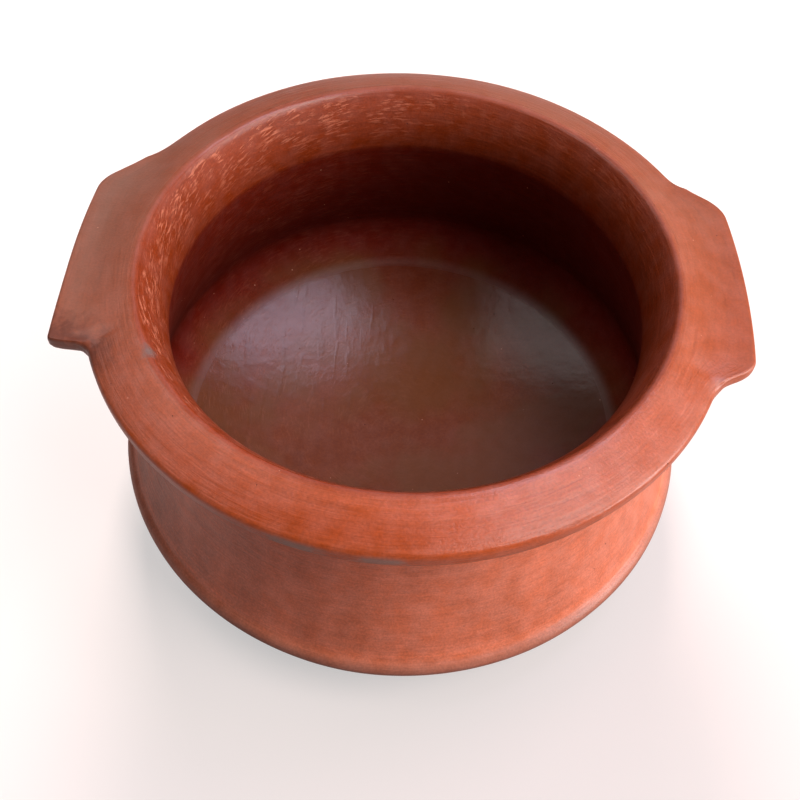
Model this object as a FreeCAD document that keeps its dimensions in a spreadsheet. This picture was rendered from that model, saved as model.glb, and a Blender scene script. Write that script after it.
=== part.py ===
import FreeCAD, Part
import math
import os
import Sketcher

# Deep cooking pot, thrown and fired as one piece of red earthenware.
# Millimetres. The origin is the centre of the spot the pot rests on, +Z is up,
# and the two lugs point along +X and -X.

doc = FreeCAD.newDocument("deep_cooking_pot")

# Sizes of the pot
# Radii are from the pot's axis, and heights are from the spot it rests on.
# Falls and depths are from the plane of the mouth.
SIZES = {
    "pot_height": 131.0,
    "mouth_radius": 100.0,
    "mouth_round": 4.0,
    "throat_inset": 8.4,
    "throat_depth": 24.5,
    "rim_width": 19.5,
    "rim_fall": 6.4,
    "rim_crown": 120.0,
    "rim_depth": 13.5,
    "lip_top_round": 2.4,
    "lip_under_round": 3.0,
    "lug_stand": 7.0,
    "lug_bow": 2.6,
    "lug_length": 81.0,
    "lug_fall": 4.6,
    "lug_thickness": 6.0,
    "lug_top_round": 2.0,
    "lug_under_round": 2.6,
    "lug_root_round": 15.0,
    "lug_root_bite": 1.0,
    "lug_flare": 24.0,
    "lug_corner_round": 6.0,
    "neck_thickness": 10.9,
    "neck_blend": 9.0,
    "neck_straight": 3.5,
    "ridge_stand": 18.9,
    "ridge_height": 30.5,
    "ridge_bead": 4.5,
    "ridge_step": 3.3,
    "ridge_blend": 3.0,
    "wall_thickness": 8.5,
    "floor_rise": 5.5,
    "floor_thickness": 8.5,
    "floor_blend": 26.0,
    "belly_bend": 240.0,
    "rest_radius": 45.0,
}

# Sizes that follow from those above
FOLLOWING = {
    "throat_radius": "=mouth_radius - throat_inset",
    "rim_radius": "=mouth_radius + rim_width",
    "rim_underside": "=pot_height - rim_depth",
    "lug_reach": "=rim_radius + lug_stand",
    "lug_half": "=lug_length / 2",
    "lug_top": "=pot_height - lug_fall",
    "lug_underside": "=lug_top - lug_thickness",
    "neck_radius": "=throat_radius + neck_thickness",
    "neck_height": "=rim_underside - neck_blend - neck_straight",
    "ridge_radius": "=neck_radius + ridge_stand",
}
sheet = doc.addObject("Spreadsheet::Sheet", "Sizes")
for row, (name, value) in enumerate({**SIZES, **FOLLOWING}.items(), start=1):
    sheet.set(f"A{row}", name)
    sheet.set(f"B{row}", str(value))
    sheet.setAlias(f"B{row}", name)
doc.recompute()

pot = doc.addObject("PartDesign::Body", "CookingPot")
pot.Label = "cooking_pot"

START, END, CENTRE = 1, 2, 3
ORIGIN = (-1, 1)


def size(name):
    return float(sheet.get(name))


def plane(role):
    return next(f for f in pot.Origin.OriginFeatures if f.Role == role)


def add_sketch(name, role):
    sketch = pot.newObject("Sketcher::SketchObject", name)
    sketch.AttachmentSupport = [(plane(role), "")]
    sketch.MapMode = "FlatFace"
    return sketch


def line(sketch, start, end):
    return sketch.addGeometry(Part.LineSegment(FreeCAD.Vector(*start, 0), FreeCAD.Vector(*end, 0)))


def arc(sketch, centre, start, end):
    """An arc drawn anticlockwise from start to end."""
    begin = math.atan2(start[1] - centre[1], start[0] - centre[0])
    finish = math.atan2(end[1] - centre[1], end[0] - centre[0])
    if finish < begin:
        finish += 2 * math.pi
    up = FreeCAD.Vector(0, 0, 1)
    circle = Part.Circle(FreeCAD.Vector(*centre, 0), up, math.dist(centre, start))
    return sketch.addGeometry(Part.ArcOfCircle(circle, begin, finish))


def mark(sketch, place):
    """A construction point."""
    return sketch.addGeometry(Part.Point(FreeCAD.Vector(*place, 0)), True)


def rule(sketch, kind, *places):
    sketch.addConstraint(Sketcher.Constraint(kind, *places))


def hold(sketch, kind, places, value, formula):
    """One dimension, tied to the sizes."""
    index = sketch.addConstraint(Sketcher.Constraint(kind, *places, value))
    sketch.setExpression(f"Constraints[{index}]", formula)


def pin(sketch, place, at, x_formula, y_formula):
    """Holds a point at a distance across and up from the sketch's origin."""
    hold(sketch, "DistanceX", (*ORIGIN, *place), at[0], x_formula)
    hold(sketch, "DistanceY", (*ORIGIN, *place), at[1], y_formula)


def bend_radius(run, offset):
    """Radius of an arc that leaves a line and is this far off it after this run."""
    return (run ** 2 + offset ** 2) / (2 * offset)


def towards(centre, place, distance):
    reach = math.dist(centre, place)
    return tuple(c + (p - c) * distance / reach for c, p in zip(centre, place))


def meeting(first, first_radius, second, second_radius, close):
    """The point at these distances from two centres that lies nearer to close."""
    apart = math.dist(first, second)
    run = (apart ** 2 + first_radius ** 2 - second_radius ** 2) / (2 * apart)
    side = math.sqrt(first_radius ** 2 - run ** 2)
    middle = towards(first, second, run)
    step = ((second[1] - first[1]) * side / apart, (first[0] - second[0]) * side / apart)
    both = [(middle[0] + k * step[0], middle[1] + k * step[1]) for k in (1, -1)]
    return min(both, key=lambda place: math.dist(place, close))


def crossing(start, way, centre, distance, close):
    """Where a line comes to this distance from a centre, at the place nearer to close."""
    off = (start[0] - centre[0], start[1] - centre[1])
    along = off[0] * way[0] + off[1] * way[1]
    root = math.sqrt(along ** 2 - math.hypot(*off) ** 2 + distance ** 2)
    both = [(start[0] + run * way[0], start[1] + run * way[1]) for run in (-along - root, root - along)]
    return min(both, key=lambda place: math.dist(place, close))


# Plan of one lug
# Seen from above: a bowed outer edge, rounded corners, sides that flare
# towards the rim, and hollow roots that run just into the round of the lip.
lug_corner = (size("lug_reach") - size("lug_bow"), size("lug_half"))
bow = bend_radius(lug_corner[1], size("lug_bow"))
bow_centre = (size("lug_reach") - bow, 0.0)
flare = math.radians(size("lug_flare"))
side_way = (-math.cos(flare), math.sin(flare))
side_out = (math.sin(flare), math.cos(flare))
corner_round = size("lug_corner_round")
root_round = size("lug_root_round")
bite_radius = size("rim_radius") - size("lug_root_bite")


def beside(place, out):
    return (place[0] + out * side_out[0], place[1] + out * side_out[1])


def onto_side(place):
    """The point of the lug's side that is square to this place."""
    off = [p - c for p, c in zip(place, lug_corner)]
    return beside(place, -off[0] * side_out[0] - off[1] * side_out[1])


root_line = beside(lug_corner, root_round)
root_centre = crossing(root_line, side_way, (0, 0), bite_radius + root_round, lug_corner)
root_start = towards((0, 0), root_centre, bite_radius)
root_end = onto_side(root_centre)
corner_line = beside(lug_corner, -corner_round)
corner_centre = crossing(corner_line, side_way, bow_centre, bow - corner_round, lug_corner)
corner_start = towards(bow_centre, corner_centre, bow)
corner_end = onto_side(corner_centre)
inner_x = size("mouth_radius")


def mirrored(place):
    return (place[0], -place[1])


plan = add_sketch("LugPlan", "XY_Plane")
bow_arc = arc(plan, bow_centre, mirrored(corner_start), corner_start)
back_corner = arc(plan, corner_centre, corner_start, corner_end)
back_side = line(plan, corner_end, root_end)
back_root = arc(plan, root_centre, root_start, root_end)
back_line = line(plan, root_start, (inner_x, root_start[1]))
inner_line = line(plan, (inner_x, root_start[1]), (inner_x, -root_start[1]))
front_line = line(plan, (inner_x, -root_start[1]), mirrored(root_start))
front_root = arc(plan, mirrored(root_centre), mirrored(root_end), mirrored(root_start))
front_side = line(plan, mirrored(root_end), mirrored(corner_end))
front_corner = arc(plan, mirrored(corner_centre), mirrored(corner_end), mirrored(corner_start))
bite_ring = plan.addGeometry(
    Part.Circle(FreeCAD.Vector(0, 0, 0), FreeCAD.Vector(0, 0, 1), bite_radius), True
)
back_mark = mark(plan, lug_corner)
front_mark = mark(plan, mirrored(lug_corner))

rule(plan, "Tangent", bow_arc, END, back_corner, START)
rule(plan, "Tangent", back_corner, END, back_side, START)
rule(plan, "Tangent", back_side, END, back_root, END)
rule(plan, "Coincident", back_root, START, back_line, START)
rule(plan, "Horizontal", back_line)
rule(plan, "Coincident", back_line, END, inner_line, START)
rule(plan, "Vertical", inner_line)
rule(plan, "Coincident", inner_line, END, front_line, START)
rule(plan, "Horizontal", front_line)
rule(plan, "Coincident", front_line, END, front_root, END)
rule(plan, "Tangent", front_root, START, front_side, START)
rule(plan, "Tangent", front_side, END, front_corner, START)
rule(plan, "Tangent", front_corner, END, bow_arc, START)
rule(plan, "PointOnObject", bow_arc, CENTRE, -1)
rule(plan, "Coincident", bite_ring, CENTRE, *ORIGIN)
rule(plan, "Tangent", back_root, START, bite_ring)
rule(plan, "Tangent", front_root, END, bite_ring)
rule(plan, "PointOnObject", back_mark, START, back_side)
rule(plan, "PointOnObject", front_mark, START, front_side)
rule(plan, "Equal", back_corner, front_corner)
rule(plan, "Equal", back_root, front_root)

bow_formula = "(Sizes.lug_half ^ 2 + Sizes.lug_bow ^ 2) / (2 * Sizes.lug_bow)"
corner_x_formula = "Sizes.lug_reach - Sizes.lug_bow"
hold(plan, "Radius", (bow_arc,), bow, bow_formula)
hold(plan, "DistanceX", (bow_arc, CENTRE, *ORIGIN), -bow_centre[0], bow_formula + " - Sizes.lug_reach")
hold(plan, "Radius", (back_corner,), corner_round, "Sizes.lug_corner_round")
hold(plan, "Radius", (back_root,), root_round, "Sizes.lug_root_round")
hold(plan, "Radius", (bite_ring,), bite_radius, "Sizes.rim_radius - Sizes.lug_root_bite")
pin(plan, (back_mark, START), lug_corner, corner_x_formula, "Sizes.lug_half")
hold(plan, "DistanceX", (*ORIGIN, front_mark, START), lug_corner[0], corner_x_formula)
hold(plan, "DistanceY", (front_mark, START, *ORIGIN), lug_corner[1], "Sizes.lug_half")
hold(plan, "Angle", (back_side,), math.pi - flare, "180 deg - Sizes.lug_flare * 1 deg")
hold(plan, "Angle", (front_side,), flare, "Sizes.lug_flare * 1 deg")
hold(plan, "DistanceX", (*ORIGIN, inner_line, START), inner_x, "Sizes.mouth_radius")
plan.setExpression("AttachmentOffset.Base.z", "Sizes.lug_underside")
doc.recompute()

# Lugs
# Two flat plates of clay, one the mirror of the other, with rounded edges.
# Each is thinner than the rim's lip and joins it a little below its top.
lug = pot.newObject("PartDesign::Pad", "Lug")
lug.Profile = plan
lug.setExpression("Length", "Sizes.lug_thickness")
doc.recompute()


def samples(edge):
    first, last = edge.ParameterRange
    return [edge.valueAt(first + (last - first) * k / 4) for k in range(5)]


def level_edges(feature, height):
    """The edges at one height, but for those hidden inside the rim."""
    return [
        f"Edge{number}"
        for number, edge in enumerate(feature.Shape.Edges, start=1)
        if all(abs(place.z - height) < 0.01 for place in samples(edge))
        and max(math.hypot(place.x, place.y) for place in samples(edge)) > bite_radius + 0.01
    ]


top_round = pot.newObject("PartDesign::Fillet", "LugTopRound")
top_round.Base = (lug, level_edges(lug, size("lug_top")))
top_round.setExpression("Radius", "Sizes.lug_top_round")
doc.recompute()
under_round = pot.newObject("PartDesign::Fillet", "LugUnderRound")
under_round.Base = (top_round, level_edges(top_round, size("lug_underside")))
under_round.setExpression("Radius", "Sizes.lug_under_round")
doc.recompute()
both_lugs = pot.newObject("PartDesign::Mirrored", "BothLugs")
both_lugs.Originals = [lug, top_round, under_round]
both_lugs.MirrorPlane = (plane("YZ_Plane"), [""])
pot.Tip = both_lugs
doc.recompute()

# Half section of the pot
# Outside from the rest to the rim, then down the throat and across the floor.
top = size("pot_height")
mouth = (size("mouth_radius"), top)
lip = (size("rim_radius"), top - size("rim_fall"))
crown = size("rim_crown")
crown_centre = meeting(mouth, crown, lip, crown, (0, 0))

lip_x = size("rim_radius")
top_round_at = lip_x - size("lip_top_round")
top_drop = math.sqrt((crown - size("lip_top_round")) ** 2 - (top_round_at - crown_centre[0]) ** 2)
lip_centre = (top_round_at, crown_centre[1] + top_drop)
lip_start = (lip_x, lip_centre[1])
lip_end = towards(crown_centre, lip_centre, crown)
rim_under = size("rim_underside")
under_centre = (lip_x - size("lip_under_round"), rim_under + size("lip_under_round"))
under_start = (under_centre[0], rim_under)
under_end = (lip_x, under_centre[1])

neck_x = size("neck_radius")
neck = (neck_x, size("neck_height"))
neck_centre = (neck_x + size("neck_blend"), rim_under - size("neck_blend"))
neck_start = (neck_centre[0], rim_under)
neck_end = (neck_x, neck_centre[1])

bead = size("ridge_bead")
bead_centre = (size("ridge_radius") - bead, size("ridge_height"))
foot_x = size("ridge_radius") - size("ridge_step")
foot = (foot_x, bead_centre[1] + math.sqrt(bead ** 2 - (foot_x - bead_centre[0]) ** 2))
wall_bend = bend_radius(neck[1] - foot[1], foot[0] - neck[0])
wall_centre = (neck[0] + wall_bend, neck[1])
ridge_blend = size("ridge_blend")
ridge_centre = meeting(wall_centre, wall_bend - ridge_blend, bead_centre, bead + ridge_blend, foot)
ridge_start = towards(wall_centre, ridge_centre, wall_bend)
ridge_end = towards(bead_centre, ridge_centre, bead)

rest = (size("rest_radius"), 0.0)
rise = bead_centre[1]
spare = bead_centre[0] ** 2 + rise ** 2 - bead ** 2 - rest[0] ** 2
quad = (rise ** 2 - bead ** 2, -rise * spare, spare ** 2 / 4 - (bead * rest[0]) ** 2)
base_z = (-quad[1] + math.sqrt(quad[1] ** 2 - 4 * quad[0] * quad[2])) / (2 * quad[0])
base_centre = (0.0, base_z)
base_end = towards(base_centre, bead_centre, math.dist(base_centre, rest))

throat = (size("throat_radius"), top - size("throat_depth"))
corner = (size("ridge_radius") - size("wall_thickness"), size("ridge_height") + size("floor_rise"))
funnel_bend = bend_radius(top - throat[1], mouth[0] - throat[0])
funnel_centre = (throat[0] + funnel_bend, throat[1])
belly_bend = size("belly_bend")
belly_centre = meeting(throat, belly_bend, corner, belly_bend, (throat[0] + belly_bend, top))
mouth_round = size("mouth_round")
crown_side = crown - mouth_round
funnel_side = funnel_bend - mouth_round
mouth_centre = meeting(crown_centre, crown_side, funnel_centre, funnel_side, mouth)
mouth_start = towards(crown_centre, mouth_centre, crown)
mouth_end = towards(funnel_centre, mouth_centre, funnel_bend)

floor_middle = (0.0, size("floor_thickness"))
floor_bend = bend_radius(corner[0], corner[1] - floor_middle[1])
floor_centre = (0.0, floor_middle[1] + floor_bend)
floor_blend = size("floor_blend")
belly_side = belly_bend + floor_blend
floor_side = floor_bend - floor_blend
blend_centre = meeting(belly_centre, belly_side, floor_centre, floor_side, corner)
blend_start = towards(floor_centre, blend_centre, floor_bend)
blend_end = towards(belly_centre, blend_centre, belly_bend)

section = add_sketch("HalfSection", "XZ_Plane")
rest_line = line(section, (0, 0), rest)
base_arc = arc(section, base_centre, rest, base_end)
bead_arc = arc(section, bead_centre, base_end, ridge_end)
ridge_arc = arc(section, ridge_centre, ridge_start, ridge_end)
wall_arc = arc(section, wall_centre, neck, ridge_start)
neck_line = line(section, neck, neck_end)
neck_arc = arc(section, neck_centre, neck_start, neck_end)
under_line = line(section, neck_start, under_start)
under_arc = arc(section, under_centre, under_start, under_end)
lip_line = line(section, under_end, lip_start)
lip_arc = arc(section, lip_centre, lip_start, lip_end)
crown_arc = arc(section, crown_centre, lip_end, mouth_start)
mouth_arc = arc(section, mouth_centre, mouth_start, mouth_end)
funnel_arc = arc(section, funnel_centre, mouth_end, throat)
belly_arc = arc(section, belly_centre, throat, blend_end)
blend_arc = arc(section, blend_centre, blend_start, blend_end)
floor_arc = arc(section, floor_centre, floor_middle, blend_start)
axis_line = line(section, floor_middle, (0, 0))
mouth_mark = mark(section, mouth)
lip_mark = mark(section, lip)
foot_mark = mark(section, foot)
corner_mark = mark(section, corner)

rule(section, "Coincident", rest_line, START, *ORIGIN)
rule(section, "Horizontal", rest_line)
rule(section, "Coincident", rest_line, END, base_arc, START)
rule(section, "PointOnObject", base_arc, CENTRE, -2)
rule(section, "Tangent", base_arc, END, bead_arc, START)
rule(section, "Tangent", bead_arc, END, ridge_arc, END)
rule(section, "Tangent", ridge_arc, START, wall_arc, END)
rule(section, "Tangent", wall_arc, START, neck_line, START)
rule(section, "Vertical", neck_line)
rule(section, "Tangent", neck_line, END, neck_arc, END)
rule(section, "Tangent", neck_arc, START, under_line, START)
rule(section, "Horizontal", under_line)
rule(section, "Tangent", under_line, END, under_arc, START)
rule(section, "Tangent", under_arc, END, lip_line, START)
rule(section, "Vertical", lip_line)
rule(section, "Tangent", lip_line, END, lip_arc, START)
rule(section, "Tangent", lip_arc, END, crown_arc, START)
rule(section, "Tangent", crown_arc, END, mouth_arc, START)
rule(section, "Tangent", mouth_arc, END, funnel_arc, START)
rule(section, "Horizontal", funnel_arc, CENTRE, funnel_arc, END)
rule(section, "Coincident", funnel_arc, END, belly_arc, START)
rule(section, "Tangent", belly_arc, END, blend_arc, END)
rule(section, "Tangent", blend_arc, START, floor_arc, END)
rule(section, "PointOnObject", floor_arc, CENTRE, -2)
rule(section, "Coincident", floor_arc, START, axis_line, START)
rule(section, "Coincident", axis_line, END, rest_line, START)
rule(section, "Vertical", axis_line)
rule(section, "PointOnObject", mouth_mark, START, crown_arc)
rule(section, "PointOnObject", mouth_mark, START, funnel_arc)
rule(section, "PointOnObject", lip_mark, START, crown_arc)
rule(section, "PointOnObject", foot_mark, START, bead_arc)
rule(section, "PointOnObject", foot_mark, START, wall_arc)
rule(section, "PointOnObject", corner_mark, START, belly_arc)
rule(section, "PointOnObject", corner_mark, START, floor_arc)

hold(section, "DistanceX", (rest_line, START, rest_line, END), rest[0], "Sizes.rest_radius")
pin(section, (bead_arc, CENTRE), bead_centre, "Sizes.ridge_radius - Sizes.ridge_bead", "Sizes.ridge_height")
hold(section, "Radius", (bead_arc,), bead, "Sizes.ridge_bead")
hold(section, "DistanceX", (*ORIGIN, foot_mark, START), foot_x, "Sizes.ridge_radius - Sizes.ridge_step")
hold(section, "Radius", (ridge_arc,), ridge_blend, "Sizes.ridge_blend")
pin(section, (neck_line, START), neck, "Sizes.neck_radius", "Sizes.neck_height")
hold(section, "Radius", (neck_arc,), size("neck_blend"), "Sizes.neck_blend")
hold(section, "DistanceY", (*ORIGIN, under_line, START), rim_under, "Sizes.rim_underside")
hold(section, "Radius", (under_arc,), size("lip_under_round"), "Sizes.lip_under_round")
hold(section, "DistanceX", (*ORIGIN, lip_line, START), lip_x, "Sizes.rim_radius")
hold(section, "Radius", (lip_arc,), size("lip_top_round"), "Sizes.lip_top_round")
hold(section, "Radius", (crown_arc,), crown, "Sizes.rim_crown")
pin(section, (lip_mark, START), lip, "Sizes.rim_radius", "Sizes.pot_height - Sizes.rim_fall")
pin(section, (mouth_mark, START), mouth, "Sizes.mouth_radius", "Sizes.pot_height")
hold(section, "Radius", (mouth_arc,), mouth_round, "Sizes.mouth_round")
pin(section, (belly_arc, START), throat, "Sizes.throat_radius", "Sizes.pot_height - Sizes.throat_depth")
hold(section, "Radius", (belly_arc,), belly_bend, "Sizes.belly_bend")
hold(section, "Radius", (blend_arc,), floor_blend, "Sizes.floor_blend")
corner_x_from = "Sizes.ridge_radius - Sizes.wall_thickness"
corner_y_from = "Sizes.ridge_height + Sizes.floor_rise"
pin(section, (corner_mark, START), corner, corner_x_from, corner_y_from)
hold(section, "DistanceY", (*ORIGIN, floor_arc, START), floor_middle[1], "Sizes.floor_thickness")
doc.recompute()

# Thrown pot
# One full turn of the half section, which takes the lugs' inner ends into the rim.
thrown = pot.newObject("PartDesign::Revolution", "ThrownPot")
thrown.Profile = section
thrown.ReferenceAxis = (section, ["V_Axis"])
thrown.Angle = 360.0
thrown.Refine = True
pot.Tip = thrown
doc.recompute()

# Writing the pot
for item in doc.Objects:
    if "Invalid" in item.State or "Error" in item.State:
        raise RuntimeError(f"{item.Name} is {item.State}")
if pot.Shape.isNull() or not pot.Shape.isValid() or len(pot.Shape.Solids) != 1:
    raise RuntimeError("the pot is not one valid solid")
os.makedirs("parts", exist_ok=True)
pot.Shape.exportStep("parts/cooking_pot.step")
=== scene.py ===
import math

import bpy
import numpy as np
from mathutils import Matrix, Vector


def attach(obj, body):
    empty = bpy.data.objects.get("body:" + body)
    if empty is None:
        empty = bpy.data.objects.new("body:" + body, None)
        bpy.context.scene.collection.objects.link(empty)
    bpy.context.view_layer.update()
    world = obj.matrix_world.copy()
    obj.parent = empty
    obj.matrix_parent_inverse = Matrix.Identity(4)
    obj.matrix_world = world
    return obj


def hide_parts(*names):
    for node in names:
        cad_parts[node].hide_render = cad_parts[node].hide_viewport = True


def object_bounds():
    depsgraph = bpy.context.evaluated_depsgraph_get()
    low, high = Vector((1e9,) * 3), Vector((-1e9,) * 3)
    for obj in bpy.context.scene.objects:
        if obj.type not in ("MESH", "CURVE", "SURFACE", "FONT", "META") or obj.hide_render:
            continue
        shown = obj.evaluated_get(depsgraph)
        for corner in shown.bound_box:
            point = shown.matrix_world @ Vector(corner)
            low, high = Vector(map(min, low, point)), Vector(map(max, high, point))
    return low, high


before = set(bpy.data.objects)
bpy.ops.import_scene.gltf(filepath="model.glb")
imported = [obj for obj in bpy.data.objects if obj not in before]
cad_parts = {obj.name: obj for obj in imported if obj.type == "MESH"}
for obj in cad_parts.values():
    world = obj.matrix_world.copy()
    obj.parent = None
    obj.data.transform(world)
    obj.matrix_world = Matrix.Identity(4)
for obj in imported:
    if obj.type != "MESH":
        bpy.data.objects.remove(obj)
cad_low, cad_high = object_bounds()
MM = 0.001

# Half section of the pot
# The pot is one piece of red earthenware, thrown on a wheel. This is the line
# that the potter's rib follows, from the middle of the underside round the
# outside to the lip and back inside to the middle of the floor, in millimetres.
pot_height = 131.0
mouth_radius = 100.0
throat_radius = 91.6
throat_depth = 24.5
mouth_round = 2.6
rim_radius = 119.5
rim_fall = 6.4
rim_crown = 120.0
rim_underside = 117.5
lip_top_round = 2.4
lip_under_round = 3.0
neck_radius = 102.5
neck_height = 105.0
neck_blend = 9.0
ridge_radius = cad_high.y / MM
ridge_height = 30.5
ridge_bead = 4.5
ridge_step = 3.3
ridge_blend = 3.0
wall_thickness = 8.5
floor_rise = 5.5
floor_thickness = 8.5
floor_blend = 17.0
belly_bend = 240.0
rest_radius = 45.0
fine_step = 0.9
middle_step = 1.5
broad_step = 2.5


def bend_radius(run, offset):
    """Radius of an arc that leaves a line and is this far off it after this run."""
    return (run ** 2 + offset ** 2) / (2 * offset)


def towards(centre, place, distance):
    """The point at this distance from the centre, on the way to the place."""
    reach = math.dist(centre, place)
    return tuple(c + (p - c) * distance / reach for c, p in zip(centre, place))


def meeting(first, first_radius, second, second_radius, close):
    """The point at these distances from two centres that lies nearer to close."""
    apart = math.dist(first, second)
    run = (apart ** 2 + first_radius ** 2 - second_radius ** 2) / (2 * apart)
    side = math.sqrt(first_radius ** 2 - run ** 2)
    middle = towards(first, second, run)
    step = ((second[1] - first[1]) * side / apart, (first[0] - second[0]) * side / apart)
    both = [(middle[0] + k * step[0], middle[1] + k * step[1]) for k in (1, -1)]
    return min(both, key=lambda place: math.dist(place, close))


section = [(0.0, 0.0)]
station = {}


def draw_line(end, step):
    """A straight run from the section's last point."""
    start = section[-1]
    count = max(1, math.ceil(math.dist(start, end) / step))
    for k in range(1, count + 1):
        section.append(tuple(a + (b - a) * k / count for a, b in zip(start, end)))


def draw_arc(centre, end, step):
    """An arc from the section's last point, the short way round."""
    start = section[-1]
    radius = math.dist(centre, start)
    begin = math.atan2(start[1] - centre[1], start[0] - centre[0])
    turn = math.atan2(end[1] - centre[1], end[0] - centre[0]) - begin
    turn = (turn + math.pi) % (2 * math.pi) - math.pi
    count = max(1, math.ceil(abs(turn) * radius / step))
    for k in range(1, count + 1):
        angle = begin + turn * k / count
        section.append((centre[0] + radius * math.cos(angle), centre[1] + radius * math.sin(angle)))


mouth = (mouth_radius, pot_height)
lip = (rim_radius, pot_height - rim_fall)
crown_centre = meeting(mouth, rim_crown, lip, rim_crown, (0, 0))
lip_x = rim_radius - lip_top_round
lip_drop = math.sqrt((rim_crown - lip_top_round) ** 2 - (lip_x - crown_centre[0]) ** 2)
lip_centre = (lip_x, crown_centre[1] + lip_drop)
under_centre = (rim_radius - lip_under_round, rim_underside + lip_under_round)
neck = (neck_radius, neck_height)
neck_centre = (neck_radius + neck_blend, rim_underside - neck_blend)
bead_centre = (ridge_radius - ridge_bead, ridge_height)
foot_x = ridge_radius - ridge_step
foot_rise = math.sqrt(ridge_bead ** 2 - (foot_x - bead_centre[0]) ** 2)
foot = (foot_x, ridge_height + foot_rise)
wall_bend = bend_radius(neck_height - foot[1], foot[0] - neck_radius)
wall_centre = (neck_radius + wall_bend, neck_height)
ridge_inner = (wall_bend - ridge_blend, ridge_bead + ridge_blend)
ridge_centre = meeting(wall_centre, ridge_inner[0], bead_centre, ridge_inner[1], foot)

# The underside is one arc that leaves the resting spot and ends in the ridge's bead.
spare = bead_centre[0] ** 2 + ridge_height ** 2 - ridge_bead ** 2 - rest_radius ** 2
quad_a = ridge_height ** 2 - ridge_bead ** 2
quad_b = -ridge_height * spare
quad_c = spare ** 2 / 4 - (ridge_bead * rest_radius) ** 2
base_centre = (0.0, (-quad_b + math.sqrt(quad_b ** 2 - 4 * quad_a * quad_c)) / (2 * quad_a))
base_radius = math.dist(base_centre, (rest_radius, 0.0))

throat = (throat_radius, pot_height - throat_depth)
corner = (ridge_radius - wall_thickness, ridge_height + floor_rise)
funnel_bend = bend_radius(throat_depth, mouth_radius - throat_radius)
funnel_centre = (throat_radius + funnel_bend, throat[1])
belly_far = (throat_radius + belly_bend, pot_height)
belly_centre = meeting(throat, belly_bend, corner, belly_bend, belly_far)
crown_side = rim_crown - mouth_round
funnel_side = funnel_bend - mouth_round
mouth_centre = meeting(crown_centre, crown_side, funnel_centre, funnel_side, mouth)
floor_middle = (0.0, floor_thickness)
floor_bend = bend_radius(corner[0], corner[1] - floor_thickness)
floor_centre = (0.0, floor_thickness + floor_bend)
belly_side = belly_bend + floor_blend
floor_side = floor_bend - floor_blend
blend_centre = meeting(belly_centre, belly_side, floor_centre, floor_side, corner)

draw_line((rest_radius, 0.0), 2 * broad_step)
draw_arc(base_centre, towards(base_centre, bead_centre, base_radius), broad_step)
draw_arc(bead_centre, (ridge_radius, ridge_height), fine_step)
station["ridge"] = len(section) - 1
draw_arc(bead_centre, towards(bead_centre, ridge_centre, ridge_bead), fine_step)
draw_arc(ridge_centre, towards(wall_centre, ridge_centre, wall_bend), fine_step)
station["wall"] = len(section) - 1
draw_arc(wall_centre, neck, broad_step)
draw_line((neck_radius, neck_centre[1]), broad_step)
draw_arc(neck_centre, (neck_centre[0], rim_underside), middle_step)
draw_line((under_centre[0], rim_underside), middle_step)
station["lip under"] = len(section) - 1
draw_arc(under_centre, (rim_radius, under_centre[1]), fine_step)
draw_line((rim_radius, lip_centre[1]), fine_step)
draw_arc(lip_centre, towards(crown_centre, lip_centre, rim_crown), fine_step)
station["lip"] = len(section) - 1
draw_arc(crown_centre, towards(crown_centre, mouth_centre, rim_crown), middle_step)
station["crown"] = len(section) - 1
draw_arc(mouth_centre, towards(funnel_centre, mouth_centre, funnel_bend), fine_step)
station["mouth"] = len(section) - 1
draw_arc(funnel_centre, throat, middle_step)
station["throat"] = len(section) - 1
draw_arc(belly_centre, towards(belly_centre, blend_centre, belly_bend), broad_step)
station["belly"] = len(section) - 1
draw_arc(blend_centre, towards(floor_centre, blend_centre, floor_bend), middle_step)
station["floor"] = len(section) - 1
draw_arc(floor_centre, floor_middle, broad_step)
section = np.array(section)
steps = np.linalg.norm(np.diff(section, axis=0), axis=1)
along = np.concatenate([[0.0], np.cumsum(steps)])

# Lugs
# Each lug is a flat tongue of the rim's own clay, pulled out over a hand's width
# while the pot was soft. In plan it has a bowed outer edge, rounded corners and
# sides that flare into the lip.
lug_reach = cad_high.x / MM

# Made by hand, the four ends of the lugs differ. The lists give the right back,
# left back, left front and right front end.
lug_bows = [2.6, 2.6, 1.0, 2.6]
lug_halves = [40.5, 40.5, 42.0, 40.5]
lug_flares = [36.0, 42.0, 4.0, 26.0]
lug_corners = [6.0, 4.0, 4.0, 5.2]

lug_top = 126.4
lug_underside = 120.4
lug_begins = 105.5
lug_full = rim_radius - 1.0
lug_root_soft = 4.5
lug_fade = 2.5
least_lean = 0.1
hair = 0.01
open_step = math.radians(1.2)
lug_step = math.radians(0.45)
lug_from = math.radians(12.0)
lug_to = math.radians(31.0)


def smooth_step(low, high, value):
    """A soft climb from 0 to 1 between low and high."""
    share = np.clip((value - low) / (high - low), 0, 1)
    return share * share * (3 - 2 * share)


def soft_least(a, b, width):
    """The lesser of two values, rounded off where they cross."""
    share = np.clip(0.5 + (b - a) / (2 * width), 0, 1)
    return b + (a - b) * share - width * share * (1 - share)


def quarter_turn():
    """Angles from the lug's middle to the pot's front, closer together at the lug's side."""
    ends = [0.0, lug_from, lug_to, math.pi / 2]
    spans = zip(ends, ends[1:], [open_step, lug_step, open_step])
    parts = [np.linspace(a, b, math.ceil((b - a) / step) + 1)[:-1] for a, b, step in spans]
    return np.concatenate(parts)


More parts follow.
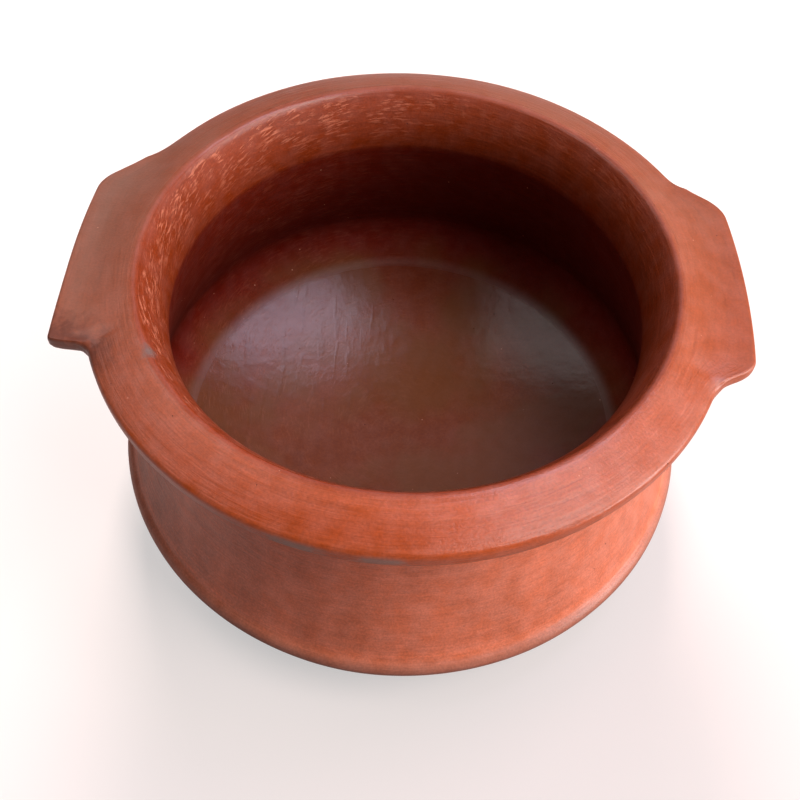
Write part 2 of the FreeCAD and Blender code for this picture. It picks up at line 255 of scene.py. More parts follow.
quarter = quarter_turn()
half = np.concatenate([quarter, [math.pi / 2], math.pi - quarter[:0:-1]])
angle = np.concatenate([half, half + math.pi, [2 * math.pi]])
tilt = np.abs(np.sin(angle))
lean = np.abs(np.cos(angle))
safe_lean = np.maximum(lean, least_lean)
flank = (angle // (math.pi / 2)).astype(int) % 4
lug_bow = np.array(lug_bows)[flank]
lug_half = np.array(lug_halves)[flank]
flare = np.radians(lug_flares)[flank]
bow_edge = lug_reach - lug_bow * (tilt / safe_lean * lug_reach / lug_half) ** 2
bow_edge = bow_edge / safe_lean
side_line = (lug_reach - lug_bow) * np.sin(flare) + lug_half * np.cos(flare)
side_edge = side_line / (lean * np.sin(flare) + tilt * np.cos(flare))
tongue = soft_least(bow_edge, side_edge, np.array(lug_corners)[flank])
outline = -soft_least(-tongue, np.full_like(angle, -rim_radius), lug_root_soft)
outline = np.where(tongue < rim_radius - lug_root_soft, rim_radius, outline)

# What the pull does to each point of the section: how much of the lug's reach it
# gets, and how far it rises.
pull = smooth_step(lug_begins, lug_full, section[:, 0])
pull = np.where(section[:, 1] > rim_underside - hair, pull, 0)
top_rise = lug_top - np.maximum(section[:, 1], lip[1])
under_rise = lug_underside - rim_underside
share = np.clip((section[:, 1] - rim_underside) / (lip[1] - rim_underside), 0, 1)
rise = pull * (under_rise + (top_rise - under_rise) * share)


def guide_mesh(name, places, attributes):
    """A line of points, in metres, that carries numbers along it."""
    mesh = bpy.data.meshes.new(name)
    mesh.from_pydata([tuple(p) for p in places], [(k, k + 1) for k in range(len(places) - 1)], [])
    for key, values in attributes.items():
        layer = mesh.attributes.new(key, "FLOAT", "POINT")
        layer.data.foreach_set("value", np.asarray(values, np.float32))
    guide = bpy.data.objects.new(name, mesh)
    bpy.context.scene.collection.objects.link(guide)
    return guide


section_places = np.stack([section[:, 0], 0 * along, section[:, 1]], 1) * MM
numbers = {"pull": pull, "rise": rise * MM, "along": along * MM}
pot = guide_mesh("earthenware_pot", section_places, numbers)
plan_places = np.stack([outline * np.cos(angle), outline * np.sin(angle), 0 * angle], 1) * MM
plan = guide_mesh("rim_plan", plan_places, {})


def add(tree, kind, sockets=(), **settings):
    """One node with its settings. Its sockets come in their order or by name, and each
    takes a value, a node or another socket."""
    node = tree.nodes.new(kind)
    for key, value in settings.items():
        setattr(node, key, value)
    goals = [item for item in node.inputs if item.enabled]
    if isinstance(sockets, dict):
        goals = [next(item for item in goals if item.name == key) for key in sockets]
        sockets = sockets.values()
    for goal, value in zip(goals, sockets):
        if isinstance(value, bpy.types.Node):
            value = next(item for item in value.outputs if item.enabled)
        if isinstance(value, bpy.types.NodeSocket):
            tree.links.new(value, goal)
        else:
            goal.default_value = value
    return node


# Throwing
# The section is turned round the plan of the rim, as the wheel does it. A hand
# never keeps quite still, so the wall wavers by a fraction of a millimetre, but not
# at the resting spot. Sizes are in millimetres.
waver = 0.9
waver_span = 70.0
waver_seed = 3.0
still_below = 6.0
throwing = bpy.data.node_groups.new("throw_the_pot", "GeometryNodeTree")
for key, kind in (
    ("Section", "Geometry"),
    ("Plan", "Object"),
    ("Rim radius", "Float"),
    ("Lug fade", "Float"),
    ("Waver", "Float"),
    ("Waver span", "Float"),
    ("Seed", "Float"),
    ("Clay", "Material"),
):
    throwing.interface.new_socket(key, in_out="INPUT", socket_type="NodeSocket" + kind)
throwing.interface.new_socket("Pot", in_out="OUTPUT", socket_type="NodeSocketGeometry")
given = add(throwing, "NodeGroupInput")
line = given.outputs["Section"]
ring = add(throwing, "GeometryNodeObjectInfo", {"Object": given.outputs["Plan"]}).outputs["Geometry"]
rows = add(throwing, "GeometryNodeAttributeDomainSize", {"Geometry": line})
turns = add(throwing, "GeometryNodeAttributeDomainSize", {"Geometry": ring})
grid = add(throwing, "GeometryNodeMeshGrid", {"Vertices X": turns, "Vertices Y": rows})
index = add(throwing, "GeometryNodeInputIndex")
row = add(throwing, "FunctionNodeIntegerMath", [index, rows], operation="MODULO")
turn = add(throwing, "FunctionNodeIntegerMath", [index, rows], operation="DIVIDE")
position = add(throwing, "GeometryNodeInputPosition")
read = {}
for key in ("pull", "rise", "along"):
    named = add(throwing, "GeometryNodeInputNamedAttribute", {"Name": key}, data_type="FLOAT")
    from_line = {"Geometry": line, "Value": named, "Index": row}
    read[key] = add(throwing, "GeometryNodeSampleIndex", from_line, data_type="FLOAT")
from_line = {"Geometry": line, "Value": position, "Index": row}
on_line = add(throwing, "GeometryNodeSampleIndex", from_line, data_type="FLOAT_VECTOR")
from_ring = {"Geometry": ring, "Value": position, "Index": turn}
on_ring = add(throwing, "GeometryNodeSampleIndex", from_ring, data_type="FLOAT_VECTOR")
out_of_line = add(throwing, "ShaderNodeSeparateXYZ", [on_line])
reach = add(throwing, "ShaderNodeVectorMath", [on_ring], operation="LENGTH")
reach = reach.outputs["Value"]
way = add(throwing, "ShaderNodeVectorMath", [on_ring], operation="NORMALIZE")
extra = [reach, given.outputs["Rim radius"]]
extra = add(throwing, "ShaderNodeMath", extra, operation="SUBTRACT")
fade = {"Value": extra, "From Max": given.outputs["Lug fade"]}
in_lug = add(throwing, "ShaderNodeMapRange", fade, interpolation_type="SMOOTHSTEP")
pulled = [extra, read["pull"], out_of_line.outputs["X"]]
radius = add(throwing, "ShaderNodeMath", pulled, operation="MULTIPLY_ADD")
raised = [in_lug, read["rise"], out_of_line.outputs["Z"]]
height = add(throwing, "ShaderNodeMath", raised, operation="MULTIPLY_ADD")
outward = add(throwing, "ShaderNodeVectorMath", [way, radius], operation="SCALE")
upward = add(throwing, "ShaderNodeCombineXYZ", {"Z": height})
thrown_place = add(throwing, "ShaderNodeVectorMath", [outward, upward], operation="ADD")
shaped = add(throwing, "GeometryNodeSetPosition", {"Geometry": grid, "Position": thrown_place})
kept = {"Geometry": shaped, "Name": "along", "Value": read["along"]}
marked = add(throwing, "GeometryNodeStoreNamedAttribute", kept, data_type="FLOAT", domain="POINT")
seam = {"Geometry": marked, "Distance": hair * MM}
closed = add(throwing, "GeometryNodeMergeByDistance", seam)
span = add(throwing, "ShaderNodeMath", [1.0, given.outputs["Waver span"]], operation="DIVIDE")
wobble = {"Vector": position, "Scale": span, "Detail": 1.0, "W": given.outputs["Seed"]}
wobble = add(throwing, "ShaderNodeTexNoise", wobble, noise_dimensions="4D")
centred = add(throwing, "ShaderNodeMath", [wobble, 0.5], operation="SUBTRACT")
sized = [centred, given.outputs["Waver"]]
sized = add(throwing, "ShaderNodeMath", sized, operation="MULTIPLY")
now = add(throwing, "ShaderNodeSeparateXYZ", [position])
off_rest = {"Value": now.outputs["Z"], "From Max": still_below * MM}
off_rest = add(throwing, "ShaderNodeMapRange", off_rest)
sized = add(throwing, "ShaderNodeMath", [sized, off_rest], operation="MULTIPLY")
normal = add(throwing, "GeometryNodeInputNormal")
offset = add(throwing, "ShaderNodeVectorMath", [normal, sized], operation="SCALE")
wavered = add(throwing, "GeometryNodeSetPosition", {"Geometry": closed, "Offset": offset})
smoothed = add(throwing, "GeometryNodeSetShadeSmooth", {"Geometry": wavered})
real = add(throwing, "GeometryNodeRealizeInstances", {"Geometry": smoothed})
coloured = {"Geometry": real, "Material": given.outputs["Clay"]}
finished = add(throwing, "GeometryNodeSetMaterial", coloured)
add(throwing, "NodeGroupOutput", {"Pot": finished})


def linear(code):
    """A colour written as sRGB hex, as the light that it stands for."""
    parts = [int(code[k:k + 2], 16) / 255 for k in (1, 3, 5)]
    return [(c / 12.92 if c <= 0.04045 else ((c + 0.055) / 1.055) ** 2.4) for c in parts] + [1.0]


# Burnished terracotta
# Red earthenware, rubbed with a pebble when leather hard and fired once with no
# glaze. The eye gets a low, broken sheen, long strokes round the pot, pale grit and
# small pits. Below the throat the inside is painted dark brown, as painted shade.

# Sizes of marks are in millimetres, and changes are shares of the clay's brightness.
# Real grit and scratches are often under 0.3 mm, too fine to show in the render, so
# the grit and the fine strokes are drawn as coarse as they need to show.
patch_size = 38.0
patch_change = 0.05
mottle_size = 7.0
mottle_change = 0.05
grit_size = 0.9
grit_change = 0.14
stroke_length = 30.0
stroke_width = 1.8
fine_stroke_length = 10.0
fine_stroke_width = 0.6
stroke_change = 0.07
rub_length = 30.0
rub_width = 4.0
rub_change = 0.08
# The upright wall bands are painted reflection, and the left wall's darkening is painted shade.
reflection_band_width = 14.0
reflection_band_change = 0.09
left_wall_painted_shade = 0.35
cloud_size = 34.0
# The rim's pale film is partly dust and partly painted light.
back_dust_and_light = 0.32
left_dust_and_light = 0.35
tear_patch_size = 9.0
tear_strength = 0.6
smudge_grain = 3.0
smudge_full = 0.8
smudge_gone = 1.3
soot_strength = 0.6
# Strength of the painted shade on the left lug's front end.
lug_shade_strength = 0.7
speck_spacing = 3.4
speck_reach = 0.13
speck_strength = 0.55
pit_strength = 0.6
polish_change = 0.04
polished_shine = 0.5
dull_shine = 0.12

# Heights of the marks are shares of the relief's.
relief_height = 0.2
grit_height = 0.35
fine_stroke_height = 0.3
mottle_height = 0.6
pit_height = -1.6
tear_height = 0.7
rub_height = -0.12

# Fired clay has an IOR near 1.5 and, left rough, a roughness of about 0.8. The
# pebble brings it down where it reaches, most of all on the mouth's edge and floor.
clay_ior = 1.5
clay = bpy.data.materials.new("burnished_terracotta")
clay.use_nodes = True
tree = clay.node_tree
tree.nodes.clear()
object_place = add(tree, "ShaderNodeTexCoord").outputs["Object"]
along_line = add(tree, "ShaderNodeAttribute", attribute_name="along").outputs["Fac"]
side = add(tree, "ShaderNodeSeparateXYZ", [object_place])
section_length = along[-1] * MM


def at(name, shift=0.0):
    """Where a place lies along the section, in metres, moved on by some millimetres."""
    return float(along[station[name]] + shift) * MM


# The clay's colour and its roughness, by place, from the middle of the underside
# round the lip to the middle of the floor.
zones = (
    (0.0, "#8E4630"),
    # Painted shade darkens the ridge's bead and the clay under it, and a painted highlight runs in
    # the small hollow just above the bead.
    (at("ridge", -9.0), "#763D2B"),
    (at("ridge", -1.0), "#884B3A"),
    (at("ridge", 3.0), "#AE6650"),
    (at("wall", 1.0), "#DA7250"),
    (at("wall", 4.0), "#CA6A4C"),
    (at("lip under", -24.0), "#CA6A4C"),
    # Painted shade in the hollow under the rim.
    (at("lip under", -12.0), "#7D3D22"),
    (at("lip under"), "#9E4F2D"),
    (at("lip under", 5.0), "#AA4C28"),
    (at("lip", 4.0), "#AC4822"),
    (at("crown", -1.0), "#B6532F"),
    (at("crown", 0.8), "#A85038"),
    (at("mouth", -1.0), "#903A20"),
    (at("mouth", 5.0), "#8E3719"),
    # From just above the throat down, the inside is painted dark, as painted shade.
    (at("throat", -1.0), "#7A2C12"),
    (at("throat", 1.5), "#621606"),
    (at("belly", -6.0), "#571004"),
    (at("belly", 16.0), "#6C1D13"),
    (at("floor", 6.0), "#702A10"),
    (at("floor", 45.0), "#7A3818"),
)
dullness = (
    (0.0, 0.5),
    (at("ridge"), 0.42),
    (at("lip"), 0.32),
    (at("crown", -1.0), 0.32),
    (at("crown", 0.5), 0.16),
    (at("mouth", -0.5), 0.2),
    (at("mouth", 1.5), 0.58),
    (at("throat", 6.0), 0.75),
    (at("floor", -2.0), 0.72),
    (at("floor", 5.0), 0.2),
)


def lay_out(ramp, stops):
    """Puts a ramp's stops along the section, each with a colour or a grey."""
    while len(ramp) < len(stops):
        ramp.new(0.5)
    for element, (place, tone) in zip(ramp, stops):
        element.position = place / section_length
        element.color = linear(tone) if isinstance(tone, str) else (tone, tone, tone, 1.0)


along_share = add(tree, "ShaderNodeMath", [along_line, 1 / section_length], operation="MULTIPLY")
by_zone = add(tree, "ShaderNodeValToRGB", [along_share])
lay_out(by_zone.color_ramp.elements, zones)
dull = add(tree, "ShaderNodeValToRGB", [along_share])
lay_out(dull.color_ramp.elements, dullness)


def grain(size, detail):
    """What a noise needs to have lumps of this size in millimetres."""
    return {"Vector": object_place, "Scale": 1 / (size * MM), "Detail": detail, "Roughness": 0.5}


def stroke_field(length, width, detail, shift=0.0, slant=0.0):
    """Marks of this length and width in millimetres, drawn out round the pot."""
    stretch = [object_place, (1 / (length * MM), 1 / (length * MM), 0)]
    stretch = add(tree, "ShaderNodeVectorMath", stretch, operation="MULTIPLY")
    slanted = [side.outputs["Y"], slant, along_line]
    slanted = add(tree, "ShaderNodeMath", slanted, operation="MULTIPLY_ADD")
    across = [slanted, 1 / (width * MM), shift]
    across = add(tree, "ShaderNodeMath", across, operation="MULTIPLY_ADD")
    across = add(tree, "ShaderNodeCombineXYZ", {"Z": across})
    both = add(tree, "ShaderNodeVectorMath", [stretch, across], operation="ADD")
    noise = {"Vector": both, "Scale": 1.0, "Detail": detail, "Roughness": 0.55}
    return add(tree, "ShaderNodeTexNoise", noise)


patches = add(tree, "ShaderNodeTexNoise", grain(patch_size, 4.0))
mottle = add(tree, "ShaderNodeTexNoise", grain(mottle_size, 4.0))
grit = add(tree, "ShaderNodeTexNoise", grain(grit_size, 3.0))
strokes = stroke_field(stroke_length, stroke_width, 3.0)
fine_strokes = stroke_field(fine_stroke_length, fine_stroke_width, 2.0, 7.0)

# Where the floor begins, the pebble's round strokes give way to cloudy patches. A
# Map Range takes a value, the range that it comes from and the one that it goes to.
worked = add(tree, "ShaderNodeMapRange", [along_line, at("belly"), at("floor"), 1.0, 0.0])
on_floor = add(tree, "ShaderNodeMapRange", [along_line, at("floor", -16.0), at("floor")])

# Changes of tone: dull and bright patches, mottles, grit and strokes round the pot.
value = 1.0
for field, low, high, change in (
    (patches, 0.36, 0.64, patch_change),
    (mottle, 0.34, 0.66, mottle_change),
    (grit, 0.3, 0.7, grit_change),
):
    shift = add(tree, "ShaderNodeMapRange", [field, low, high, -change, change])
    value = add(tree, "ShaderNodeMath", [value, shift], operation="ADD")
for field in (strokes, fine_strokes):
    shift = add(tree, "ShaderNodeMapRange", [field, 0.3, 0.7, -stroke_change, stroke_change])
    value = add(tree, "ShaderNodeMath", [shift, worked, value], operation="MULTIPLY_ADD")

# Long straight strokes cross the floor from front to back at its left.
lengthways = [object_place, (1 / (rub_width * MM), 1 / (rub_length * MM), 0)]
lengthways = add(tree, "ShaderNodeVectorMath", lengthways, operation="MULTIPLY")
rubbed = add(tree, "ShaderNodeTexNoise", {"Vector": lengthways, "Scale": 1.0, "Detail": 2.0})
rubbed = add(tree, "ShaderNodeMapRange", [rubbed, 0.55, 0.66])
floor_left = add(tree, "ShaderNodeMapRange", [side.outputs["X"], 5.0 * MM, -35.0 * MM])
for mask in (on_floor, floor_left):
    rubbed = add(tree, "ShaderNodeMath", [rubbed, mask], operation="MULTIPLY")
value = add(tree, "ShaderNodeMath", [rubbed, -rub_change, value], operation="MULTIPLY_ADD")

# Upright bands of painted reflection lie on the outer wall, and the wall is painted
# darker towards the left, as painted shade.
sideways = add(tree, "ShaderNodeVectorMath", [object_place, (1.0, 1.0, 0.15)], operation="MULTIPLY")
painted_bands_and_shade = {"Vector": sideways, "Scale": 1 / (reflection_band_width * MM), "Detail": 2.0}
painted_bands_and_shade = add(tree, "ShaderNodeTexNoise", painted_bands_and_shade)
painted_bands_and_shade = add(tree, "ShaderNodeMapRange", [painted_bands_and_shade, 0.35, 0.65, -reflection_band_change, reflection_band_change])
# Painted shade: the wall is darker towards the left.
left_painted_shade = [side.outputs["X"], -40.0 * MM, -110.0 * MM, 0.0, -left_wall_painted_shade]
left_painted_shade = add(tree, "ShaderNodeMapRange", left_painted_shade)
painted_bands_and_shade = add(tree, "ShaderNodeMath", [painted_bands_and_shade, left_painted_shade], operation="ADD")
above_ridge = add(tree, "ShaderNodeMapRange", [along_line, at("ridge", -4.0), at("wall", 4.0)])
below_lip = [along_line, at("lip under"), at("lip under", -14.0)]
below_lip = add(tree, "ShaderNodeMapRange", below_lip)
on_wall = add(tree, "ShaderNodeMath", [above_ridge, below_lip], operation="MULTIPLY")
value = add(tree, "ShaderNodeMath", [painted_bands_and_shade, on_wall, value], operation="MULTIPLY_ADD")
vivid = add(tree, "ShaderNodeMapRange", [mottle, 0.35, 0.65, 1.03, 0.97])
toned = {"Color": by_zone, "Value": value, "Saturation": vivid}
colour = add(tree, "ShaderNodeHueSaturation", toned)

# The floor is cloudy, with olive brown patches.
cloud = add(tree, "ShaderNodeTexNoise", grain(cloud_size, 3.0))
cloud = add(tree, "ShaderNodeMapRange", [cloud, 0.42, 0.6, 0.0, 0.5])
cloud = add(tree, "ShaderNodeMath", [cloud, on_floor], operation="MULTIPLY")
clouded = {"Factor": cloud, "A": colour, "B": linear("#6B401C")}
colour = add(tree, "ShaderNodeMix", clouded, data_type="RGBA")

# A thin pale grey film lies on the rim: none at the front, more towards the back and
# most on the left lug. It is partly dust and partly painted light.
dust_and_light_film = add(tree, "ShaderNodeMapRange", [side.outputs["Y"], -95.0 * MM, 40.0 * MM, 0.0, back_dust_and_light])
left_dust_and_light_film = [side.outputs["X"], -92.0 * MM, -122.0 * MM, 0.0, left_dust_and_light]
left_dust_and_light_film = add(tree, "ShaderNodeMapRange", left_dust_and_light_film)
dust_and_light_film = add(tree, "ShaderNodeMath", [dust_and_light_film, left_dust_and_light_film], operation="ADD")
past_lip = add(tree, "ShaderNodeMapRange", [along_line, at("lip under"), at("lip", 4.0)])
before_mouth = add(tree, "ShaderNodeMapRange", [along_line, at("mouth"), at("crown", -1.0)])
uneven = add(tree, "ShaderNodeMapRange", [patches, 0.3, 0.7, 0.7, 1.3])
for mask in (past_lip, before_mouth, uneven):
    dust_and_light_film = add(tree, "ShaderNodeMath", [dust_and_light_film, mask], operation="MULTIPLY")
dusted_and_lit = {"Factor": dust_and_light_film, "A": colour, "B": linear("#887060")}
colour = add(tree, "ShaderNodeMix", dusted_and_lit, data_type="RGBA")

# The neck was scraped inside when it was too dry: the clay tore in pale streaks,
# most of them just under the mouth's edge and at the left.
wide_tear = stroke_field(6.0, 1.3, 3.0, 31.0, 0.1)
wide_tear = add(tree, "ShaderNodeMapRange", [wide_tear, 0.56, 0.64])
thin_tear = stroke_field(5.0, 0.7, 3.0, 53.0, 0.35)
thin_tear = add(tree, "ShaderNodeMapRange", [thin_tear, 0.55, 0.63])
tear = add(tree, "ShaderNodeMath", [wide_tear, thin_tear], operation="MAXIMUM")
in_patches = add(tree, "ShaderNodeTexNoise", grain(tear_patch_size, 3.0))
in_patches = add(tree, "ShaderNodeMapRange", [in_patches, 0.4, 0.56, 0.05, 1.0])
in_mouth = add(tree, "ShaderNodeMapRange", [along_line, at("mouth", -0.5), at("mouth", 1.0)])
high_up = [along_line, at("throat", -3.0), at("mouth", 5.0), 0.1, 1.0]
high_up = add(tree, "ShaderNodeMapRange", high_up)
to_left = [side.outputs["X"], 30.0 * MM, -45.0 * MM, 0.2, 1.0]
to_left = add(tree, "ShaderNodeMapRange", to_left)
for mask in (in_patches, in_mouth, high_up, to_left):
    tear = add(tree, "ShaderNodeMath", [tear, mask], operation="MULTIPLY")
torn = add(tree, "ShaderNodeMath", [tear, tear_strength], operation="MULTIPLY")
torn = {"Factor": torn, "A": colour, "B": linear("#DE8060")}
colour = add(tree, "ShaderNodeMix", torn, data_type="RGBA")


def smudge(place, size):
    """How much a ragged mark of this size covers each point, all in millimetres."""
    away = [object_place, [c * MM for c in place]]
    away = add(tree, "ShaderNodeVectorMath", away, operation="DISTANCE").outputs["Value"]
    ragged = add(tree, "ShaderNodeTexNoise", grain(smudge_grain, 3.0))
    away = add(tree, "ShaderNodeMath", [ragged, size * MM, away], operation="MULTIPLY_ADD")
    return add(tree, "ShaderNodeMapRange", [away, smudge_gone * size * MM, smudge_full * size * MM])


# Soot has caught in a thin line on the lip at the front, and on the mouth's edge at
# the left. The front end of the left lug is painted darker, as painted shade.
left_soot = smudge((-31.0, -115.0, 121.5), 14.0)
front_soot = smudge((-4.0, -119.5, 121.5), 12.0)
soot = add(tree, "ShaderNodeMath", [left_soot, front_soot], operation="MAXIMUM")
soot_from = add(tree, "ShaderNodeMapRange", [along_line, at("lip", -7.5), at("lip", -5.0)])
soot_to = add(tree, "ShaderNodeMapRange", [along_line, at("lip", -1.0), at("lip", -3.5)])
for mask in (soot_from, soot_to):
    soot = add(tree, "ShaderNodeMath", [soot, mask], operation="MULTIPLY")
mouth_soot = smudge((-87.0, -48.0, 131.0), 5.0)
soot = add(tree, "ShaderNodeMath", [soot, mouth_soot], operation="MAXIMUM")
soot = add(tree, "ShaderNodeMath", [soot, soot_strength], operation="MULTIPLY")
sooty = {"Factor": soot, "A": colour, "B": linear("#78706A")}
colour = add(tree, "ShaderNodeMix", sooty, data_type="RGBA")
# Painted shade on the front end of the left lug.
corner_painted_shade = smudge((-124.0, -44.0, 123.0), 22.0)
root_painted_shade = smudge((-113.0, -47.0, 121.0), 20.0)
lug_painted_shade = add(tree, "ShaderNodeMath", [corner_painted_shade, root_painted_shade], operation="MAXIMUM")
lug_painted_shade = add(tree, "ShaderNodeMath", [lug_painted_shade, lug_shade_strength], operation="MULTIPLY")
lug_shaded = {"Factor": lug_painted_shade, "A": colour, "B": linear("#5E2A1C")}
colour = add(tree, "ShaderNodeMix", lug_shaded, data_type="RGBA")

# Grit and pits: pale specks of sand and small dark holes in the skin.
cells = {"Vector": object_place, "Scale": 1 / (speck_spacing * MM), "Randomness": 1.0}
cells = add(tree, "ShaderNodeTexVoronoi", cells)
picked = add(tree, "ShaderNodeSeparateColor", [cells.outputs["Color"]])
spot_reach = add(tree, "ShaderNodeMapRange", [picked.outputs["Red"], 0.8, 1.0, 0.0, speck_reach])
spot_core = add(tree, "ShaderNodeMath", [spot_reach, 0.5], operation="MULTIPLY")
spot = add(tree, "ShaderNodeMapRange", [cells.outputs["Distance"], spot_reach, spot_core])
is_pale = add(tree, "ShaderNodeMath", [picked.outputs["Green"], 0.45], operation="GREATER_THAN")
pale_spot = add(tree, "ShaderNodeMath", [spot, is_pale], operation="MULTIPLY")
pit = add(tree, "ShaderNodeMath", [spot, pale_spot], operation="SUBTRACT")
speck = add(tree, "ShaderNodeMath", [pale_spot, speck_strength], operation="MULTIPLY")
speckled = {"Factor": speck, "A": colour, "B": linear("#E09A7C")}
colour = add(tree, "ShaderNodeMix", speckled, data_type="RGBA")
hole = add(tree, "ShaderNodeMath", [pit, pit_strength], operation="MULTIPLY")
pitted = {"Factor": hole, "A": colour, "B": linear("#4A2018")}
colour = add(tree, "ShaderNodeMix", pitted, data_type="RGBA")

# Sheen and relief: the strokes break the polish, and dull clay shines least.
streaky = add(tree, "ShaderNodeMapRange", [strokes, 0.3, 0.7, -polish_change, polish_change])
polish = add(tree, "ShaderNodeMath", [streaky, worked, dull], operation="MULTIPLY_ADD")
shine = add(tree, "ShaderNodeMapRange", [dull, 0.4, 0.7, polished_shine, dull_shine])
relief = strokes
for field, height in ((grit, grit_height), (fine_strokes, fine_stroke_height)):
    relief = add(tree, "ShaderNodeMath", [field, height, relief], operation="MULTIPLY_ADD")
relief = add(tree, "ShaderNodeMath", [relief, worked], operation="MULTIPLY")
for field, height in (
    (mottle, mottle_height),
    (pit, pit_height),
    (tear, tear_height),
    (rubbed, rub_height),
):
    relief = add(tree, "ShaderNodeMath", [field, height, relief], operation="MULTIPLY_ADD")
bump = {"Height": relief, "Distance": relief_height * MM, "Strength": 1.0}
bump = add(tree, "ShaderNodeBump", bump)
surface = {
    "Base Color": colour,
    "Roughness": polish,
    "IOR": clay_ior,
    "Specular IOR Level": shine,
    "Normal": bump,
}
surface = add(tree, "ShaderNodeBsdfPrincipled", surface)
add(tree, "ShaderNodeOutputMaterial", {"Surface": surface})

# The pot is thrown in this clay, and what comes of it is kept as one plain mesh.
thrower = pot.modifiers.new("throwing", "NODES")
thrower.node_group = throwing
values = {
    "Plan": plan,
    "Rim radius": rim_radius * MM,
    "Lug fade": lug_fade * MM,
    "Waver": waver * MM,
    "Waver span": waver_span * MM,
    "Seed": waver_seed,
    "Clay": clay,
}
for item in throwing.interface.items_tree:
    if item.name in values:
        thrower[item.identifier] = values[item.name]
bpy.context.view_layer.update()
thrown = pot.evaluated_get(bpy.context.evaluated_depsgraph_get())
body = bpy.data.meshes.new_from_object(thrown)
pot.modifiers.clear()
pot.data = body
bpy.data.objects.remove(plan)
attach(pot, "root")
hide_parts("cooking_pot")

# Floor and backdrop
# A plain, pale sweep, laid flat, that keeps the pot's soft shadow. The camera sees
# it glow a little near the pot and turn clear white farther off, where the lamps
# fall away. Its distances are in metres.
sweep_reach = 6.0
sweep_roughness = 0.9
glow_from = 0.6
glow_to = 1.6
glow_near = 0.5
glow_far = 1.0
sweep_mesh = bpy.data.meshes.new("white_sweep")
corners = [(x * sweep_reach, y * sweep_reach, 0.0) for x, y in ((-1, -1), (1, -1), (1, 1), (-1, 1))]
sweep_mesh.from_pydata(corners, [], [(0, 1, 2, 3)])
sweep = bpy.data.objects.new("white_sweep", sweep_mesh)
bpy.context.scene.collection.objects.link(sweep)
white = bpy.data.materials.new("white_sweep")
white.use_nodes = True
tree = white.node_tree
tree.nodes.clear()
seen = add(tree, "ShaderNodeLightPath").outputs["Is Camera Ray"]
far_off = add(tree, "ShaderNodeTexCoord").outputs["Object"]
far_off = add(tree, "ShaderNodeVectorMath", [far_off], operation="LENGTH").outputs["Value"]
glow = add(tree, "ShaderNodeMapRange", [far_off, glow_from, glow_to, glow_near, glow_far])
glow = add(tree, "ShaderNodeMath", [seen, glow], operation="MULTIPLY")
surface = {
    "Base Color": linear("#BFABA5"),
    "Roughness": sweep_roughness,
    "Emission Color": linear("#FFFFFF"),
    "Emission Strength": glow,
}
surface = add(tree, "ShaderNodeBsdfPrincipled", surface)
add(tree, "ShaderNodeOutputMaterial", {"Surface": surface})
sweep_mesh.materials.append(white)

# Light
# One high window at the right and a bluish skylight light everything, with weak
# light back from the walls. Two windows at the right light the pot alone, and a lamp
# behind lights the floor alone, which lays the pot's shadow to the front.
room_strength = 0.093
pot_middle = (0.0, 0.0, 0.1)


def soft_lamp(name, place, wide, tall, watts, tint):
    """A soft rectangle of light, turned to the pot. Sizes are in metres."""
    lamp = bpy.data.lights.new(name, "AREA")
    lamp.shape = "RECTANGLE"
    lamp.size = wide
    lamp.size_y = tall
    lamp.energy = watts
    lamp.color = linear(tint)[:3]
    holder = bpy.data.objects.new(name, lamp)
    holder.location = place
    holder.rotation_euler = (Vector(pot_middle) - Vector(place)).to_track_quat("-Z", "Y").to_euler()
    bpy.context.scene.collection.objects.link(holder)
    return holder


def light_alone(name, lit, lamps):
    """Lets these lamps light one thing and nothing else."""
    only = bpy.data.collections.new(name)
    only.objects.link(lit)
    for lamp in lamps:
        lamp.light_linking.receiver_collection = only


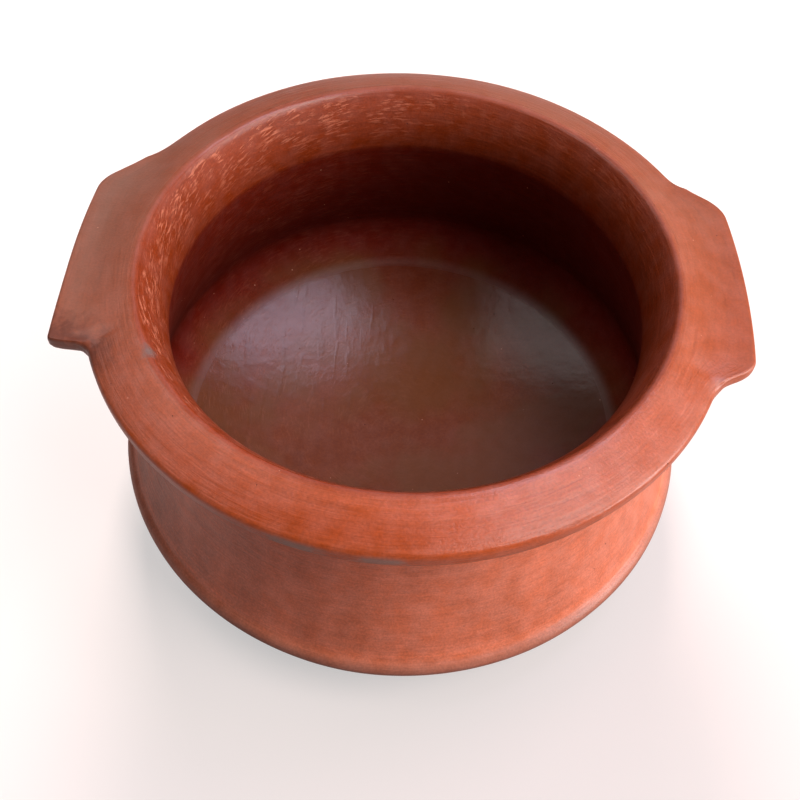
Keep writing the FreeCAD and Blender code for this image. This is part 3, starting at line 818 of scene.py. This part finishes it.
right_window = soft_lamp("right_window", (1.1, 0.03, 0.68), 0.7, 0.9, 4.3, "#FFFFFF")
front_window = soft_lamp("front_window", (1.1, -0.42, 0.3), 0.6, 0.6, 9.9, "#FFFFFF")
light_alone("lit_by_windows", pot, [right_window, front_window])
soft_lamp("high_window", (0.68, -0.38, 1.13), 0.7, 0.7, 9.3, "#FFFFFF")
soft_lamp("skylight", (0.42, 0.28, 1.3), 0.5, 0.5, 4.3, "#E0DCF6")
soft_lamp("left_wall", (-0.66, 0.2, 1.15), 0.8, 0.8, 2.7, "#FFFFFF")
soft_lamp("back_wall", (0.0, 0.95, 0.95), 0.8, 0.8, 0.9, "#D8DEFF")
floor_lamp = soft_lamp("floor_lamp", (-0.12, 0.99, 0.86), 0.5, 0.5, 20.0, "#FFFFFF")
light_alone("lit_by_floor_lamp", sweep, [floor_lamp])

# The room's own pale light, which the camera sees as clear white.
world = bpy.data.worlds.new("room")
bpy.context.scene.world = world
world.use_nodes = True
tree = world.node_tree
tree.nodes.clear()
room = add(tree, "ShaderNodeBackground", [linear("#FFFFFF"), room_strength])
clean = add(tree, "ShaderNodeBackground", [linear("#FFFFFF"), 1.0])
seen = add(tree, "ShaderNodeLightPath").outputs["Is Camera Ray"]
both = add(tree, "ShaderNodeMixShader", [seen, room, clean])
add(tree, "ShaderNodeOutputWorld", {"Surface": both})
bpy.context.scene.view_settings.view_transform = "Standard"

# Camera
# It stands a little over a third of a metre off and looks down on the mouth from
# the front, as in the photograph. The last three angles turn the view about the
# camera's own up, right and forward.
camera_height_angle = math.radians(46.36)
camera_distance = 0.374
camera_yaw = math.radians(0.11)
camera_pitch = math.radians(-8.05)
camera_roll = math.radians(-2.69)
sensor_width = 36.0
image_width = 800
focal_pixels = 1000.6
mouth_middle = Vector((0, 0, pot_height * MM))
back = Vector((0, -math.cos(camera_height_angle), math.sin(camera_height_angle)))
forward = -back
right = forward.cross(Vector((0, 0, 1))).normalized()
up = right.cross(forward)
yaw = Matrix.Rotation(camera_yaw, 3, up)
forward, right = yaw @ forward, yaw @ right
pitch = Matrix.Rotation(camera_pitch, 3, right)
forward, up = pitch @ forward, pitch @ up
roll = Matrix.Rotation(camera_roll, 3, forward)
right, up = roll @ right, roll @ up
camera_data = bpy.data.cameras.new("camera")
camera_data.sensor_width = sensor_width
camera_data.lens = sensor_width * focal_pixels / image_width
camera = bpy.data.objects.new("camera", camera_data)
turned = Matrix((right, up, -forward)).transposed().to_4x4()
camera.matrix_world = Matrix.Translation(mouth_middle + back * camera_distance) @ turned
bpy.context.scene.collection.objects.link(camera)
bpy.context.scene.camera = camera
